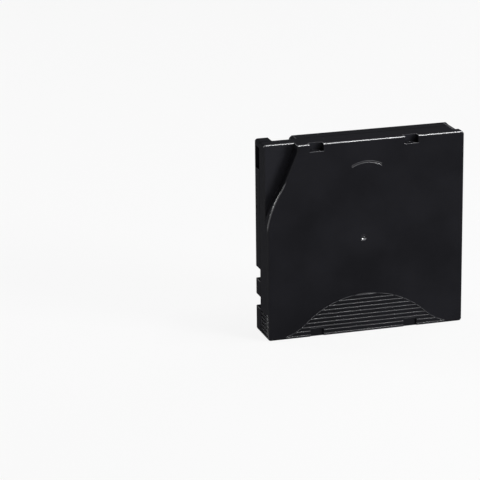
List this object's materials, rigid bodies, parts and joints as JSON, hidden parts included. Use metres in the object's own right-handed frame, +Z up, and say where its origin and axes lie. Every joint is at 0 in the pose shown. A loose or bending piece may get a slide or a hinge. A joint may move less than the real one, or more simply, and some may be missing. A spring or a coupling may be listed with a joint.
{
  "type": "tape drive cleaning cartridge",
  "caption": "Flat square cartridge that cleans a tape drive: two shells round a braked reel of film, with a sliding door, leader pin and write-protect tab.",
  "frame": {"origin": "middle of the rear side, on the surface that the cartridge stands on", "axes": "+X from the left side to the door side, -Y out of the top side (the ribbed side that the picture shows), +Z up towards the front side, which enters the drive first"},
  "size_m": [0.1054, 0.0216, 0.102],
  "materials": {
    "case_plastic": "fine moulded texture",
    "reel_plastic": "smooth moulded",
    "brake_plastic": "smooth moulded",
    "pad_plastic": "smooth moulded",
    "clamp_plastic": "smooth moulded",
    "door_plastic": "fine moulded texture",
    "tab_plastic": "smooth moulded",
    "screw_steel": "zinc plated",
    "clutch_steel": "pressed sheet",
    "pin_steel": "turned",
    "spring_steel": "drawn wire and strip",
    "tape_film": "wound film",
    "board_laminate": "lacquered",
    "chip_resin": "cast resin"
  },
  "bodies": {
    "case": {"top_shell": "case_plastic", "bottom_shell": "case_plastic", "case_screws": "screw_steel", "brake_spring": "spring_steel", "tape_leader": "tape_film", "leader_pin": "pin_steel", "leader_pin_clamp": "clamp_plastic", "pin_spring_lower": "spring_steel", "pin_spring_upper": "spring_steel", "door_spring": "spring_steel", "memory_board": "board_laminate", "memory_chip": "chip_resin"},
    "reel": {"reel_hub": "reel_plastic", "upper_flange": "reel_plastic", "clutch_plate": "clutch_steel", "tape_pack": "tape_film"},
    "brake": {"brake_button": "brake_plastic"},
    "release": {"brake_release_pad": "pad_plastic"},
    "door": {"door": "door_plastic"},
    "tab": {"write_protect_tab": "tab_plastic"}
  },
  "joints": [
    {"name": "reel_spin", "type": "hinge", "parent": "case", "child": "reel", "pos_m": [-0.0014, 0, 0.0506], "axis": [0, 1, 0], "continuous": true},
    {"name": "brake_lift", "type": "slide", "parent": "case", "child": "brake", "axis": [0, -1, 0], "range_m": [0, 0.0018], "stiffness_N_per_m": 500, "springref_m": -0.01, "deforming": ["brake_spring"]},
    {"name": "pad_lift", "type": "slide", "parent": "reel", "child": "release", "axis": [0, -1, 0], "range_m": [0, 0.0018]},
    {"name": "door_slide", "type": "slide", "parent": "case", "child": "door", "axis": [0, 0, -1], "range_m": [0, 0.032], "stiffness_N_per_m": 20, "springref_m": -0.03, "deforming": ["door_spring"]},
    {"name": "tab_slide", "type": "slide", "parent": "case", "child": "tab", "axis": [1, 0, 0], "range_m": [0, 0.0042]}
  ],
  "couplings": [
    {"joint": "pad_lift", "follows": "brake_lift", "ratio": 1}
  ]
}
